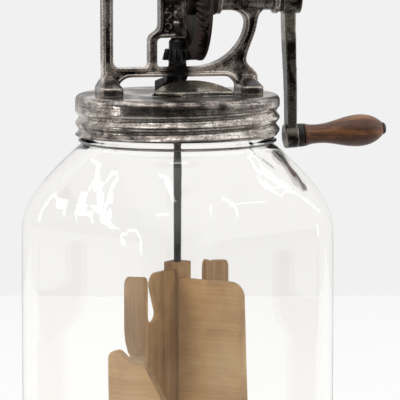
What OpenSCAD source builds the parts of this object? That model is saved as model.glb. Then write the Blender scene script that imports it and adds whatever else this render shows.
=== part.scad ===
/* [Jar] */
// Width of the square jar, flat to flat
jar_side = 147; // [130:1:170]
// Height of the jar to the rim of its neck
jar_h = 228; // [200:1:260]
// Outside radius of the jar's upright corners
jar_corner_r = 32; // [26:1:40]
// Inside radius of the upright corners
jar_inner_corner_r = 26; // [20:0.5:27]
// Wall of the flat sides
jar_wall = 5.5; // [4:0.5:7]
// Thickness of the jar's floor
jar_floor = 8; // [5:0.5:12]
// Radius of the round edge the jar stands on
heel_r = 9; // [5:1:14]
// Height of the shoulder between the straight sides and the neck
shoulder_h = 50; // [40:1:60]
// Height of the round neck above the shoulder
neck_h = 25; // [22:0.5:32]
// Outside radius of the neck
neck_r = 54.5; // [50:0.5:60]
// Wall of the neck
neck_wall = 5.5; // [4:0.5:7]
// Turn of the jar against the crank, in degrees
jar_turn = 33; // [0:1:45]

/* [Lid] */
// Sheet thickness of the tin lid
sheet_t = 0.9; // [0.6:0.1:1.4]
// Height of the lid
lid_h = 23; // [20:0.5:26]
// Height of the plain band above the thread beads
band_h = 7.4; // [6:0.1:9]
// Height of one rolled thread bead
bead_pitch = 7.2; // [6.4:0.1:8]
// Depth of the rolled thread beads
bead_depth = 2; // [1:0.1:3]
// Radius of the lid's top edge
lid_edge_r = 3.5; // [2:0.5:5]
// Gap between the neck and the thread grooves of the lid
lid_clear = 1.6; // [0.6:0.1:2.5]
// Thickness of the rubber sealing ring
gasket_t = 2.1; // [1.5:0.1:4]

/* [Pour flap] */
// Length of the flap's straight hinged edge
flap_w = 49; // [40:0.5:54]
// Depth of the half-moon flap from its hinge
flap_d = 14; // [10:0.5:16]
// Place of the flap's middle along the crank axis
flap_x = 5.7; // [2:0.1:7]
// Distance of the hinge in front of the dasher rod
flap_y = 20; // [18:0.5:24]
// Lift of the flap as it stands, in degrees
flap_lift = 30; // [0:1:60]
// Radius of the flap's hinge pin
flap_pin_r = 0.7; // [0.5:0.05:1]

/* [Gear frame] */
// Depth of the cast frame from front to back
frame_t = 9; // [8:0.5:14]
// Width of the raised border round the sunk panels
border_w = 2; // [1.4:0.1:2.4]
// Depth of the sunk panels
panel_d = 1.4; // [0.6:0.1:2.5]
// Height of the cross bar's underside above the lid
bar_low = 10; // [8:0.1:14]
// Thickness of the cross bar
bar_t = 5.5; // [5:0.1:9]
// Distance of the hand loop's outer edge from the dasher rod
post_out = 44.4; // [42:0.1:50]
// Width of the hand loop's post
post_w = 6.3; // [5.5:0.1:10]
// Height of the hand loop above the lid
loop_h = 104; // [100:1:120]
// Thickness of the hand loop's top
loop_t = 10; // [8:0.5:14]
// Reach of the centre plate to the loop side of the rod
plate_left = 11; // [9:0.5:13]
// Reach of the centre plate to the wheel side of the rod
plate_right = 4.5; // [4:0.1:5]
// Width of the leg beside the pinion window
leg_w = 4.7; // [4.2:0.1:7]
// Distance of the curved arm's inner edge from the rod
arm_in = 39.7; // [37:0.1:42]
// Width of the curved arm
arm_w = 6.2; // [5.5:0.1:9]
// Width of the front feet
foot_w = 13.4; // [12:0.1:16]
// Height of the feet
foot_h = 8; // [6:0.5:9]
// Reach of the front feet before the rod
foot_front = 20; // [18:0.5:24]
// Width of the rear leg
rear_w = 12; // [9:0.5:14]
// Reach of the rear foot behind the rod
rear_reach = 42; // [36:0.5:46]
// Radius of the bearing sleeve
sleeve_r = 7; // [6.6:0.1:9]
// Radius of the screws that hold the feet
screw_r = 2; // [1.5:0.1:2.5]

/* [Gears] */
// Tooth size of the gears: pitch diameter over teeth
gear_module = 1.17; // [1.14:0.01:1.2]
// Teeth of the drive wheel
wheel_teeth = 60; // [54:1:64]
// Teeth of the pinion
pinion_teeth = 13; // [12:1:14]
// Pressure angle of the teeth
pressure_angle = 20; // [18:0.5:22]
// Play between the teeth along the pitch line
backlash = 0.4; // [0.3:0.05:0.6]
// Width of the wheel's toothed ring
ring_w = 7.5; // [6:0.5:8]
// Thickness of the wheel's rim behind the pitch line
rim_t = 5.9; // [4.5:0.1:7]
// Thickness of the wheel's web
web_t = 2.6; // [2:0.1:3.2]
// Radius of the wheel's hub
hub_r = 9.5; // [8:0.1:11]
// Length of the pinion's teeth
pinion_face = 6.2; // [5:0.1:8]
// Radius of the pinion's hub
pinion_hub_r = 5; // [4.4:0.1:5]
// Height of the pinion's hub
pinion_hub_h = 6.3; // [4.5:0.1:8]
// Height of the rod's boss over the cross bar
seat_h = 2.2; // [1:0.1:4]
// Thickness of the thrust washer under the pinion
thrust_t = 1.6; // [1:0.1:2.5]

/* [Crank] */
// Radius of the crank shaft
shaft_r = 5; // [4:0.1:5.2]
// Radius of the shaft's thin end in the centre plate
tail_r = 2.8; // [2:0.1:3]
// Distance from the crank shaft to the grip's stud
crank_len = 80.5; // [70:0.5:82]
// Thickness of the crank arm
crank_t = 6.8; // [5:0.1:8]
// Width of the crank arm
crank_w = 12; // [10:0.5:14]
// Sideways bend of the crank arm
crank_bend = 2.2; // [0:0.1:3]
// Radius of the boss on the shaft
boss_r = 9.2; // [8.5:0.1:11]
// Length of the boss on the shaft
boss_l = 11; // [10:0.5:15]
// Radius of the boss on the stud
eye_r = 7; // [6:0.1:8]
// Length of the boss on the stud
eye_l = 7.6; // [7:0.1:10]
// Gap between the crank and what it swings past
crank_gap = 2; // [1:0.1:5]
// Radius of the cross pin through the crank
crank_pin_r = 1.6; // [1.2:0.1:2]
// Upward tilt of the grip, in degrees
grip_tilt = 3.5; // [0:0.5:5]
// Length of the wooden grip
grip_l = 48.2; // [42:0.1:60]
// Largest radius of the grip
grip_r = 9.4; // [8:0.1:12]
// Smallest radius of the grip
grip_neck_r = 5.5; // [4.8:0.1:6.5]
// Radius of the stud in the grip
stud_r = 2.5; // [2:0.1:3]
// Length of the black collar before the grip
collar_l = 3.3; // [2:0.1:5]

/* [Dasher] */
// Radius of the dasher rod
rod_r = 2.4; // [2:0.1:3]
// Width of the square dasher post
post_side = 13; // [11:0.5:15]
// Height of the post's lower end above the jar's base
dasher_low = 22; // [15:1:40]
// Height of the post above its lower end
dasher_h = 112; // [100:1:120]
// Depth of the rod in the post
rod_seat = 30; // [20:1:40]
// Reach of the boards from the rod
board_reach = 47.5; // [40:0.5:48]
// Thickness of the boards
board_t = 6; // [5:0.5:8]
// Depth of the grooves that hold the boards
groove_d = 2; // [1:0.1:3]
// Height of the tall plain board
wide_h = 103; // [85:1:105]
// Height of the low plain board at its outer end
low_h = 55; // [45:1:65]
// Fall of the low board's upper edge towards the post
low_drop = 24; // [10:1:30]
// Height of the forked boards
fork_h = 108; // [100:1:112]
// Height on the post where the forked boards start
wing_low = 12; // [5:1:20]
// Height where the forked boards reach their full width
wing_h = 77; // [65:1:80]
// Depth of the slot in the forked boards
slot_d = 30; // [20:1:32]
// Greatest width of that slot
slot_w = 14; // [10:0.5:16]
// Width of the fingers outside the slots
finger_w = 9; // [7:0.5:11]
// Turn of the plain boards against the crank, in degrees
paddle_turn = -45; // [-90:1:0]

/* [Fits] */
// Running clearance of shafts and pins that turn
run_fit = 0.05; // [0.02:0.01:0.1]
// Clearance of pins and seats that don't turn
seat_fit = 0.02; // [0.01:0.01:0.05]
// End gap between pieces that turn past each other
end_gap = 0.3; // [0.2:0.05:0.6]

/* [Hidden] */
$fn = 48;
cut = 1;

// Heights, from the flat base the jar stands on
shoulder_top = jar_h - neck_h;
lid_under = jar_h + gasket_t;
lid_top = lid_under + sheet_t;
bar_high = bar_low + bar_t;

// The gear pair: both pitch cones meet where the shafts cross
wheel_r = gear_module * wheel_teeth / 2;
pinion_r = gear_module * pinion_teeth / 2;
pinion_low = bar_high + seat_h + thrust_t + end_gap;
shaft_h = pinion_low + wheel_r;
shaft_z = lid_top + shaft_h;
pinion_hub_low = pinion_low + pinion_face;
pinion_top = pinion_hub_low + pinion_hub_h;
window_top = pinion_top + end_gap;
tooth_pitch = PI * gear_module;
pinion_add = gear_module;
wheel_add = 0.7 * gear_module;
tip_gap = 0.25 * gear_module;
wheel_ded = pinion_add + tip_gap;
pinion_ded = wheel_add + tip_gap;
ring_out = wheel_r + 0.2;
ring_in = ring_out - ring_w;
rim_back = pinion_r + rim_t;

// The lid's radii, outwards from the neck
groove_r = neck_r + lid_clear + sheet_t;
lid_r = groove_r + bead_depth;
neck_bore_r = neck_r - neck_wall;

// The jar's sections are circles swept round a square: a core is half that square's side
outer_core = jar_side / 2 - jar_corner_r;
inner_core = jar_side / 2 - jar_wall - jar_inner_corner_r;
shoulder_r = neck_r + 1.5;

// Places along the crank shaft
hub_tail = 8.5;
web_step = 0.6;
arm_step = 1.2;
foot_share = 0.8;
sleeve_x0 = rim_back + hub_tail;
hub_x0 = plate_right + end_gap;
hub_x1 = sleeve_x0 - end_gap;
web_x0 = pinion_r + wheel_ded + web_step;
eye_low = shaft_z - crank_len - eye_r;
eye_step = arm_step + crank_bend + foot_share * crank_t / 2;
crank_x0 = crank_gap + max(lid_r, jar_reach(eye_low) + eye_l / 2 - eye_step);
washer_t = 1.5;
washer_x0 = crank_x0 - end_gap - washer_t;
sleeve_x1 = washer_x0 - end_gap;
eye_x = crank_x0 + eye_step;
grip_x0 = eye_l / 2 + collar_l + end_gap;

// Places of the feet
left_foot_x = -post_out + 3.2;
right_foot_x = arm_in + 0.7;
foot_back = frame_t / 2 + 2;
rear_foot_d = 17;
screw_y = (foot_back - foot_front) / 2;
SCREWS = [[left_foot_x, screw_y], [right_foot_x, screw_y], [0, rear_reach - rear_foot_d / 2]];
screw_in = 5;
head_r = 1.8 * screw_r;
head_h = 1.8;

// The flap's hinge
knuckle_r = flap_pin_r + 0.5;
hinge_h = knuckle_r + end_gap;
lug_w = 10;
flap_r = (pow(flap_w / 2, 2) + pow(flap_d, 2)) / (2 * flap_d);

// The dasher
post_top = dasher_low + dasher_h;
board_in = post_side / 2 - groove_d + seat_fit;
rod_low = post_top - rod_seat;
journal_h = 7;
rod_top = lid_top + window_top + journal_h;
rod_pin_r = 1.1;
rod_pin_z = post_top - 7;
rod_pin_end = post_side / 2 - groove_d - 0.5;

function mix(a, b, t) = a + (b - a) * t;
function arc(c, r, a0, a1, n) =
    [for (i = [0:n]) c + r * [cos(mix(a0, a1, i / n)), sin(mix(a0, a1, i / n))]];
function bezier(a, b, c, d, n = 10) =
    [for (i = [0:n]) let (t = i / n, s = 1 - t)
        s * s * s * a + 3 * s * s * t * b + 3 * s * t * t * c + t * t * t * d];
function backwards(p) = [for (i = [len(p) - 1:-1:0]) p[i]];

// One section of the jar
corner_steps = 10;
ring_n = 4 * corner_steps;
function section(core, r, z) =
    [for (q = [0:3], i = [0:corner_steps - 1])
        let (a = 90 * q + 90 * (i + 0.5) / corner_steps, d = 90 * q + 45)
        [core * sign(cos(d)) + r * cos(a), core * sign(sin(d)) + r * sin(a), z]];

// Share of the change from round neck to square body, u from 0 at the neck to 1 at the straight sides
function squareness(u) = sin(90 * min(max(u, 0), 1));
function jar_reach(z) =
    let (t = squareness((shoulder_top - z) / shoulder_h))
    t * outer_core * (cos(jar_turn) + sin(jar_turn)) + mix(shoulder_r, jar_corner_r, t);

shoulder_steps = 8;
heel_steps = 4;
neck_bead = 3.4;
neck_bead_h = 3.4;
rim_round = 1.5;
inner_drop = 3;
inner_heel = 10;

function heel(core, r, round, z, flip) =
    [for (i = [0:heel_steps])
        let (a = 90 * (flip ? heel_steps - i : i) / heel_steps)
        section(core, r - round * (1 - sin(a)), z + round * (1 - cos(a)))];
function shoulder(core, r, top_r, top, flip) =
    [for (i = [0:shoulder_steps])
        let (u = (flip ? i : shoulder_steps - i) / shoulder_steps, t = squareness(u))
        section(t * core, mix(top_r, r, t), top - u * shoulder_h)];
function neck_ring() =
    [for (i = [0:4])
        let (a = 45 * i)
        section(0, neck_r + neck_bead * sin(a), shoulder_top + neck_bead_h * (1 - cos(a)) / 2)];

JAR_RINGS = concat(
    heel(outer_core, jar_corner_r, heel_r, 0, false),
    shoulder(outer_core, jar_corner_r, shoulder_r, shoulder_top - 0.6, false),
    neck_ring(),
    [section(0, neck_r, jar_h - rim_round),
     section(0, neck_r - rim_round * 0.7, jar_h),
     section(0, neck_bore_r + rim_round * 0.7, jar_h),
     section(0, neck_bore_r, jar_h - rim_round)],
    shoulder(inner_core, jar_inner_corner_r, neck_bore_r, shoulder_top - inner_drop, true),
    heel(inner_core, jar_inner_corner_r, inner_heel, jar_floor, true));

// End caps of a skin: one flat face, or a row of strips across an outline whose two sides mirror each other
function whole_cap(n) = [[for (i = [0:n - 1]) i]];
function strip_cap(n) = [for (i = [0:n / 2 - 2]) [i, i + 1, n - 2 - i, n - 1 - i]];

// A closed skin through rings of points, with two triangles to each square
module skin(rings, cap) {
    n = len(rings[0]);
    last = len(rings) - 1;
    polyhedron(
        points = [for (ring = rings) each ring],
        faces = concat(
            cap,
            [for (k = [0:last - 1], i = [0:n - 1])
                each let (a = k * n + i, b = k * n + (i + 1) % n) [[a, a + n, b], [b, a + n, b + n]]],
            [for (f = cap) backwards([for (i = f) last * n + i])]));
}

module glass_jar() {
    color("honeydew", 0.35)
        rotate([0, 0, jar_turn])
            skin(JAR_RINGS, whole_cap(ring_n));
}

// Outside radius of the lid's skirt at a depth below the lid's top
function skirt_r(d) =
    d < band_h ? lid_r : groove_r + bead_depth * (1 + cos(360 * (d - band_h) / bead_pitch)) / 2;
skirt_step = 0.6;
SKIRT = [for (d = [band_h:skirt_step:lid_h]) [skirt_r(d), -d]];

module lid_profile() {
    inner_edge = max(lid_edge_r - sheet_t, 0.2);
    outside = concat([[0, 0]], arc([lid_r - lid_edge_r, -lid_edge_r], lid_edge_r, 90, 0, 6), SKIRT);
    inside = concat([[0, -sheet_t]],
        arc([lid_r - lid_edge_r, -lid_edge_r], inner_edge, 90, 0, 6),
        [for (p = SKIRT) [p.x - sheet_t, p.y]]);
    polygon(concat(outside, backwards(inside)));
}

// Half-moon between the hinge line and an arc behind it, drawn in by a margin
module half_moon(margin) {
    intersection() {
        translate([0, flap_d - flap_r])
            circle(r = flap_r - margin);
        translate([-flap_w, margin])
            square([2 * flap_w, flap_d]);
    }
}

bush_wall = 2;
bush_r = rod_r + run_fit + bush_wall;
pour_margin = 2.2;

module screw_lid() {
    color("darkgray")
        translate([0, 0, lid_top])
            difference() {
                rotate_extrude()
                    lid_profile();
                translate([0, 0, -sheet_t - cut])
                    cylinder(r = bush_r + seat_fit, h = sheet_t + 2 * cut);
                translate([flap_x, -flap_y, -sheet_t - cut])
                    linear_extrude(sheet_t + 2 * cut)
                        half_moon(pour_margin);
                for (p = SCREWS)
                    translate([p.x, p.y, -sheet_t - cut])
                        cylinder(r = screw_r + seat_fit, h = sheet_t + 2 * cut);
            }
}

module lid_gasket() {
    color("dimgray")
        translate([0, 0, jar_h + seat_fit])
            difference() {
                cylinder(r = neck_r, h = gasket_t - seat_fit);
                translate([0, 0, -cut])
                    cylinder(r = neck_bore_r + 0.8, h = gasket_t + 2 * cut);
            }
}

// A bar along the crank axis, from one place to another
module x_bar(r, x0, x1) {
    translate([x0, 0, 0])
        rotate([0, 90, 0])
            cylinder(r = r, h = x1 - x0);
}

// The flap's hinge line, raised as the flap stands
module at_hinge() {
    translate([flap_x, -flap_y, lid_top + hinge_h])
        children();
}

module pour_flap() {
    knuckle_in = lug_w / 2 + end_gap;
    knuckle_out = flap_w / 2 - 2;
    color("gray")
        at_hinge()
            rotate([flap_lift, 0, 0])
                difference() {
                    union() {
                        translate([0, 0, -knuckle_r])
                            linear_extrude(sheet_t)
                                half_moon(0);
                        for (side = [0, 1])
                            mirror([side, 0, 0])
                                x_bar(knuckle_r, knuckle_in, knuckle_out);
                    }
                    x_bar(flap_pin_r + run_fit, -flap_w, flap_w);
                    translate([-knuckle_in, -knuckle_r - cut, -knuckle_r - cut])
                        cube([2 * knuckle_in, 2 * knuckle_r + cut + end_gap, 2 * knuckle_r + 2 * cut]);
                }
}

module flap_hinge_lug() {
    color("darkgray")
        at_hinge()
            difference() {
                union() {
                    x_bar(knuckle_r, -lug_w / 2, lug_w / 2);
                    translate([-lug_w / 2, -knuckle_r, -hinge_h])
                        cube([lug_w, 2 * knuckle_r, hinge_h]);
                }
                x_bar(flap_pin_r + seat_fit, -lug_w, lug_w);
            }
}

module flap_hinge_pin() {
    color("slategray")
        at_hinge()
            x_bar(flap_pin_r, -flap_w / 2 + 1, flap_w / 2 - 1);
}

// Side view of the cast frame: x along the crank shaft, y up from the lid
module loop_side() {
    corner = 16;
    difference() {
        polygon(concat(
            [[-post_out, foot_h / 2]],
            arc([-post_out + corner, loop_h - corner], corner, 180, 90, 8),
            arc([plate_right - corner / 2, loop_h - corner / 2], corner / 2, 90, 0, 6),
            [[plate_right, bar_low]],
            bezier([left_foot_x + foot_w, bar_low], [left_foot_x + foot_w - 4, bar_low],
                [left_foot_x + foot_w / 2, foot_h - 1], [left_foot_x + foot_w / 2 - 1, foot_h / 2], 6)));
        finger_gap();
        pinion_window();
    }
}

leg_spread = 6.2;
flare_h = 10;
leg_out = plate_left + leg_spread;
flare_low = window_top - 2;
flare_high = flare_low + flare_h;

module finger_gap() {
    post_in = post_w - post_out;
    gap_top = loop_h - loop_t;
    round = 8;
    polygon(concat(
        arc([post_in + round / 2, bar_high + round / 2], round / 2, 180, 270, 5),
        [[-leg_out, bar_high]],
        bezier([-leg_out, flare_low], [-leg_out, flare_low + 6], [-plate_left, flare_high - 6],
            [-plate_left, flare_high], 8),
        arc([-plate_left - round, gap_top - round], round, 0, 90, 6),
        arc([post_in + round, gap_top - round], round, 90, 180, 6)));
}

module pinion_window() {
    translate([leg_w - leg_out, bar_high])
        square([plate_right + leg_out, window_top - bar_high]);
}

module arm_side() {
    sleeve_low = shaft_h - sleeve_r;
    arm_out = arm_in + arm_w;
    foot_out = right_foot_x + foot_w / 2;
    foot_in = right_foot_x - foot_w / 2;
    waist = bar_high + 4;
    bend = sleeve_low - 8;
    opening = concat(
        bezier([hub_x0 + 4, bar_high], [arm_in - 10.6, bar_high + 0.5], [arm_in - 1, bend - 9.5],
            [arm_in, bend]),
        bezier([arm_in, bend], [arm_in + 0.9, sleeve_low - 1], [sleeve_x0 + 11, sleeve_low + 1.5],
            [sleeve_x0, sleeve_low], 8));
    outline = concat(
        bezier([arm_out + 4, sleeve_low], [arm_out + 1, sleeve_low - 1], [arm_out + 0.7, bend + 3],
            [arm_out, bend - 1], 6),
        bezier([arm_out, bend - 1], [arm_out - 1.5, bend - 8], [arm_in + 0.3, waist + 5], [arm_in + 0.1, waist], 8),
        bezier([arm_in + 0.1, waist], [arm_in + 0.3, waist - 4], [foot_out - 0.6, bar_low + 4],
            [foot_out - 0.5, bar_low - 0.5], 8),
        [[foot_out - 0.5, foot_h / 2]]);
    polygon(concat(
        opening,
        [[sleeve_x0, shaft_h], [arm_out + 4, shaft_h]],
        outline,
        bezier([foot_in + 1, foot_h / 2], [foot_in, foot_h - 1], [foot_in - 3, bar_low], [foot_in - 7, bar_low], 6),
        [[0, bar_low], [0, bar_high]]));
}

inner_round = 2.4;
outer_round = 1;

module frame_side() {
    offset(r = outer_round, $fn = 24)
        offset(r = -outer_round - inner_round, $fn = 24)
            offset(delta = inner_round) {
                loop_side();
                arm_side();
            }
}

// The side view with a sunk panel on both faces, inside a raised border
module frame_plate() {
    rotate([90, 0, 0])
        difference() {
            linear_extrude(frame_t, center = true)
                frame_side();
            for (face = [0, 1])
                mirror([0, 0, face])
                    translate([0, 0, frame_t / 2 - panel_d])
                        linear_extrude(panel_d + cut)
                            offset(delta = -border_w)
                                frame_side();
        }
}

// A foot: a round-cornered pad drawn up into the piece of the frame above it
module foot(x, y0, y1, w, neck_w, neck_y0, neck_y1) {
    round = 4.5;
    neck_h0 = 2;
    hull() {
        for (px = [x - w / 2 + round, x + w / 2 - round], py = [y0 + round, y1 - round])
            translate([px, py, 0])
                cylinder(r = round, h = foot_h * 0.6, $fn = 24);
        translate([x - neck_w / 2, neck_y0, foot_h])
            cube([neck_w, neck_y1 - neck_y0, neck_h0]);
    }
}

rod_boss_r = rod_r + 2.8;
sleeve_lip = 3;
lip_h = 2.1;

module gear_frame() {
    color("dimgray")
        translate([0, 0, lid_top])
            difference() {
                union() {
                    frame_plate();
                    foot(left_foot_x, -foot_front, foot_back, foot_w, post_w, -frame_t / 2, frame_t / 2);
                    foot(right_foot_x, -foot_front, foot_back, foot_w, post_w, -frame_t / 2, frame_t / 2);
                    foot(0, rear_reach - rear_foot_d, rear_reach, rear_w, rear_w, 0, frame_t / 2);
                    translate([0, 0, bar_low])
                        cylinder(r = rod_boss_r, h = bar_t + seat_h);
                    translate([0, 0, window_top])
                        cylinder(r = frame_t / 2, h = journal_h + 2);
                    translate([0, 0, shaft_h]) {
                        x_bar(frame_t / 2, 1 - plate_left, plate_right);
                        x_bar(sleeve_r, sleeve_x0, sleeve_x1);
                        for (x = [sleeve_x0, sleeve_x1 - sleeve_lip])
                            x_bar(sleeve_r + lip_h, x, x + sleeve_lip);
                    }
                }
                translate([0, 0, shaft_h]) {
                    x_bar(tail_r + run_fit, -plate_left - cut, plate_right + cut);
                    x_bar(shaft_r + run_fit, sleeve_x0 - cut, sleeve_x1 + cut);
                }
                cylinder(r = rod_r + run_fit, h = window_top + journal_h + end_gap);
                for (p = SCREWS)
                    translate([p.x, p.y, -cut])
                        cylinder(r = screw_r + seat_fit, h = screw_in + end_gap + cut);
            }
}

module frame_screws() {
    color("silver")
        for (p = SCREWS)
            translate([p.x, p.y, lid_under]) {
                cylinder(r = screw_r, h = sheet_t + screw_in);
                translate([0, 0, -head_h])
                    cylinder(r1 = head_r - 1, r2 = head_r, h = head_h);
            }
}

module lid_bush() {
    flange_r = bush_r + 1.2;
    flange_t = 1;
    tail = 2;
    color("silver")
        translate([0, 0, lid_top])
            difference() {
                union() {
                    cylinder(r = flange_r, h = flange_t);
                    translate([0, 0, -sheet_t - tail])
                        cylinder(r = bush_r, h = sheet_t + tail + flange_t);
                }
                translate([0, 0, -sheet_t - tail - cut])
                    cylinder(r = rod_r + run_fit, h = sheet_t + tail + flange_t + 2 * cut);
            }
}

module thrust_washer() {
    color("darkgray")
        translate([0, 0, lid_top + bar_high + seat_h])
            difference() {
                cylinder(r = rod_boss_r, h = thrust_t);
                translate([0, 0, -cut])
                    cylinder(r = rod_r + run_fit, h = thrust_t + 2 * cut);
            }
}

// A tooth gap of a bevel gear: a pyramid from the crossing point of the shafts, cut off at two distances.
// Its outline lies in a plane at the wheel's pitch radius, so a scale of 1 is the teeth's large end.
module apex_gap(outline, s0, s1) {
    skin([for (s = [s0, s1]) s * outline], strip_cap(len(outline)));
}

// Half-width of the wheel's straight-sided tooth gap at a height over the pitch line
function wheel_gap(y) = tooth_pitch / 4 + backlash / 4 + y * tan(pressure_angle);

// Half the angle of an involute pinion tooth at a radius
base_r = pinion_r * cos(pressure_angle);
function involute(a) = tan(a) * 180 / PI - a;
function tooth_angle(r) =
    90 / pinion_teeth - backlash / 4 / pinion_r * 180 / PI + involute(pressure_angle)
    - involute(acos(min(base_r / max(r, base_r), 1)));

module wheel_blank() {
    tip = (pinion_r - wheel_add) / wheel_r;
    lip = 0.4;
    rotate_extrude()
        polygon([
            [shaft_r + seat_fit, hub_x0], [hub_r, hub_x0], [hub_r, web_x0], [ring_in, web_x0],
            [ring_in, ring_in * tip], [ring_out, ring_out * tip], [ring_out, rim_back - 2],
            [ring_out + lip, rim_back - 2 + lip], [ring_out + lip, rim_back], [ring_in + 3, rim_back],
            [ring_in + 3, web_x0 + web_t], [hub_r, web_x0 + web_t], [hub_r, hub_x1],
            [shaft_r + seat_fit, hub_x1]]);
}

gear_pin_r = 1.3;
gear_pin_x = (rim_back + hub_x1) / 2;

// A pin across a shaft, front to back
module y_pin(r, half) {
    rotate([90, 0, 0])
        cylinder(r = r, h = 2 * half, center = true);
}

module drive_gear() {
    top = wheel_add + 0.6;
    root_x = pinion_r + wheel_ded;
    tip_x = pinion_r - top;
    color("dimgray")
        translate([0, 0, shaft_z])
            difference() {
                rotate([0, 90, 0])
                    difference() {
                        wheel_blank();
                        for (k = [0:wheel_teeth - 1])
                            rotate([0, 0, 360 * k / wheel_teeth])
                                apex_gap([
                                    [wheel_r, -wheel_gap(top), tip_x],
                                    [wheel_r, wheel_gap(top), tip_x],
                                    [wheel_r, wheel_gap(-wheel_ded), root_x],
                                    [wheel_r, -wheel_gap(-wheel_ded), root_x]],
                                    (ring_in - 1) / wheel_r, (ring_out + 1) / wheel_r);
                    }
                translate([gear_pin_x, 0, 0])
                    y_pin(gear_pin_r + seat_fit, hub_r + cut);
            }
}

module gear_pin() {
    color("silver")
        translate([gear_pin_x, 0, shaft_z])
            y_pin(gear_pin_r, hub_r);
}

crank_pin_x = crank_x0 + boss_l / 2;
shaft_x0 = -plate_left;
shaft_x1 = crank_x0 + boss_l - 1;

module crank_shaft() {
    color("slategray")
        translate([0, 0, shaft_z])
            difference() {
                union() {
                    x_bar(shaft_r, hub_x0, shaft_x1);
                    x_bar(tail_r, shaft_x0, hub_x0);
                }
                translate([gear_pin_x, 0, 0])
                    y_pin(gear_pin_r + seat_fit, shaft_r + cut);
                translate([crank_pin_x, 0, 0])
                    y_pin(crank_pin_r + seat_fit, shaft_r + cut);
            }
}

module crank_washer() {
    color("darkgray")
        translate([0, 0, shaft_z])
            difference() {
                x_bar(sleeve_r + 1, washer_x0, washer_x0 + washer_t);
                x_bar(shaft_r + seat_fit, washer_x0 - cut, washer_x0 + washer_t + cut);
            }
}

// The grip's place: the middle of the crank's eye, with the stud along x
module at_stud() {
    translate([eye_x, 0, shaft_z - crank_len])
        rotate([0, -grip_tilt, 0])
            children();
}

module crank_arm() {
    top = [arm_step, -boss_r / 2];
    foot = [arm_step + crank_bend, -crank_len];
    edge = bezier(top, top - [0, crank_len / 3], foot + [0, crank_len / 2], foot);
    far_edge = [for (i = [0:len(edge) - 1])
        edge[i] + [crank_t * mix(1, foot_share, i / (len(edge) - 1)), 0]];
    color("dimgray")
        difference() {
            union() {
                translate([crank_x0, 0, shaft_z]) {
                    x_bar(boss_r, 0, boss_l);
                    intersection() {
                        rotate([90, 0, 0])
                            linear_extrude(2 * crank_w, center = true)
                                polygon(concat(edge, backwards(far_edge)));
                        rotate([90, 0, 90])
                            linear_extrude(2 * boss_l)
                                polygon([[-crank_w / 2, 0], [crank_w / 2, 0],
                                    [crank_w * 0.42, -crank_len], [-crank_w * 0.42, -crank_len]]);
                    }
                }
                at_stud()
                    x_bar(eye_r, -eye_l / 2, eye_l / 2);
            }
            translate([0, 0, shaft_z])
                x_bar(shaft_r + seat_fit, crank_x0 - cut, shaft_x1);
            translate([crank_pin_x, 0, shaft_z])
                y_pin(crank_pin_r + seat_fit, boss_r + cut);
            at_stud()
                x_bar(stud_r + seat_fit, -eye_l, eye_l);
        }
}

module crank_pin() {
    color("silver")
        translate([crank_pin_x, 0, shaft_z])
            y_pin(crank_pin_r, boss_r + 0.4);
}

stud_head_r = stud_r + 1.1;
stud_head_l = 1.2;

module handle_stud() {
    end = grip_x0 + grip_l + end_gap;
    color("slategray")
        at_stud() {
            x_bar(stud_r, -eye_l / 2, end);
            translate([end, 0, 0])
                rotate([0, 90, 0])
                    cylinder(r1 = stud_head_r, r2 = stud_head_r - 0.8, h = stud_head_l);
        }
}

module grip_collar() {
    color("black")
        at_stud()
            difference() {
                x_bar(eye_r - 0.2, eye_l / 2, eye_l / 2 + collar_l);
                x_bar(stud_r + seat_fit, eye_l / 2 - cut, eye_l / 2 + collar_l + cut);
            }
}

module wooden_grip() {
    start = [0, eye_r - 0.6];
    neck = [grip_l * 0.2, grip_neck_r];
    belly = [grip_l * 0.68, grip_r];
    end = [grip_l, stud_head_r + 0.4];
    outline = concat(
        bezier(start, start + [3, -1], neck - [4, 0], neck, 6),
        bezier(neck, neck + [8, 0], belly - [11, 0], belly, 8),
        bezier(belly, belly + [8, 0], end + [0, 4], end, 8));
    color("saddlebrown")
        at_stud()
            translate([grip_x0, 0, 0])
                rotate([0, 90, 0])
                    difference() {
                        rotate_extrude()
                            polygon(concat([[0, 0]], [for (p = outline) [p.y, p.x]], [[0, grip_l]]));
                        translate([0, 0, -cut])
                            cylinder(r = stud_r + 2 * run_fit, h = grip_l + 2 * cut);
                    }
}

pinion_pin_r = 0.9;
pinion_pin_z = lid_top + pinion_hub_low + pinion_hub_h / 2;

module pinion() {
    tip_r = pinion_r + pinion_add;
    root_r = pinion_r - pinion_ded;
    small = 1 - pinion_face / wheel_r;
    pinion_hub_rise = pinion_face + pinion_hub_h * 0.7;
    radii = [tip_r + 0.5, tip_r, (tip_r + pinion_r) / 2, pinion_r, base_r, root_r];
    flank = [for (r = radii) [r, tooth_angle(min(r, tip_r))]];
    half_gap = 180 / pinion_teeth;
    outline = concat([for (p = flank) [p.x, 2 * half_gap - p.y]], backwards(flank));
    color("#202020")
        difference() {
            union() {
                translate([0, 0, shaft_z])
                    difference() {
                        translate([0, 0, -wheel_r])
                            cylinder(r1 = tip_r, r2 = tip_r * small, h = pinion_face);
                        for (k = [0:pinion_teeth - 1])
                            rotate([0, 0, 360 * k / pinion_teeth])
                                apex_gap([for (p = outline) [p.x * cos(p.y), p.x * sin(p.y), -wheel_r]],
                                    1.04, small - 0.04);
                    }
                translate([0, 0, lid_top + pinion_low])
                    rotate_extrude()
                        polygon([[0, 0], [pinion_hub_r, 0], [pinion_hub_r, pinion_hub_rise],
                            [pinion_hub_r * 0.7, pinion_face + pinion_hub_h],
                            [0, pinion_face + pinion_hub_h]]);
            }
            translate([0, 0, lid_top])
                cylinder(r = rod_r + seat_fit, h = shaft_h);
            translate([0, 0, pinion_pin_z])
                y_pin(pinion_pin_r + seat_fit, pinion_hub_r + cut);
        }
}

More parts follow.
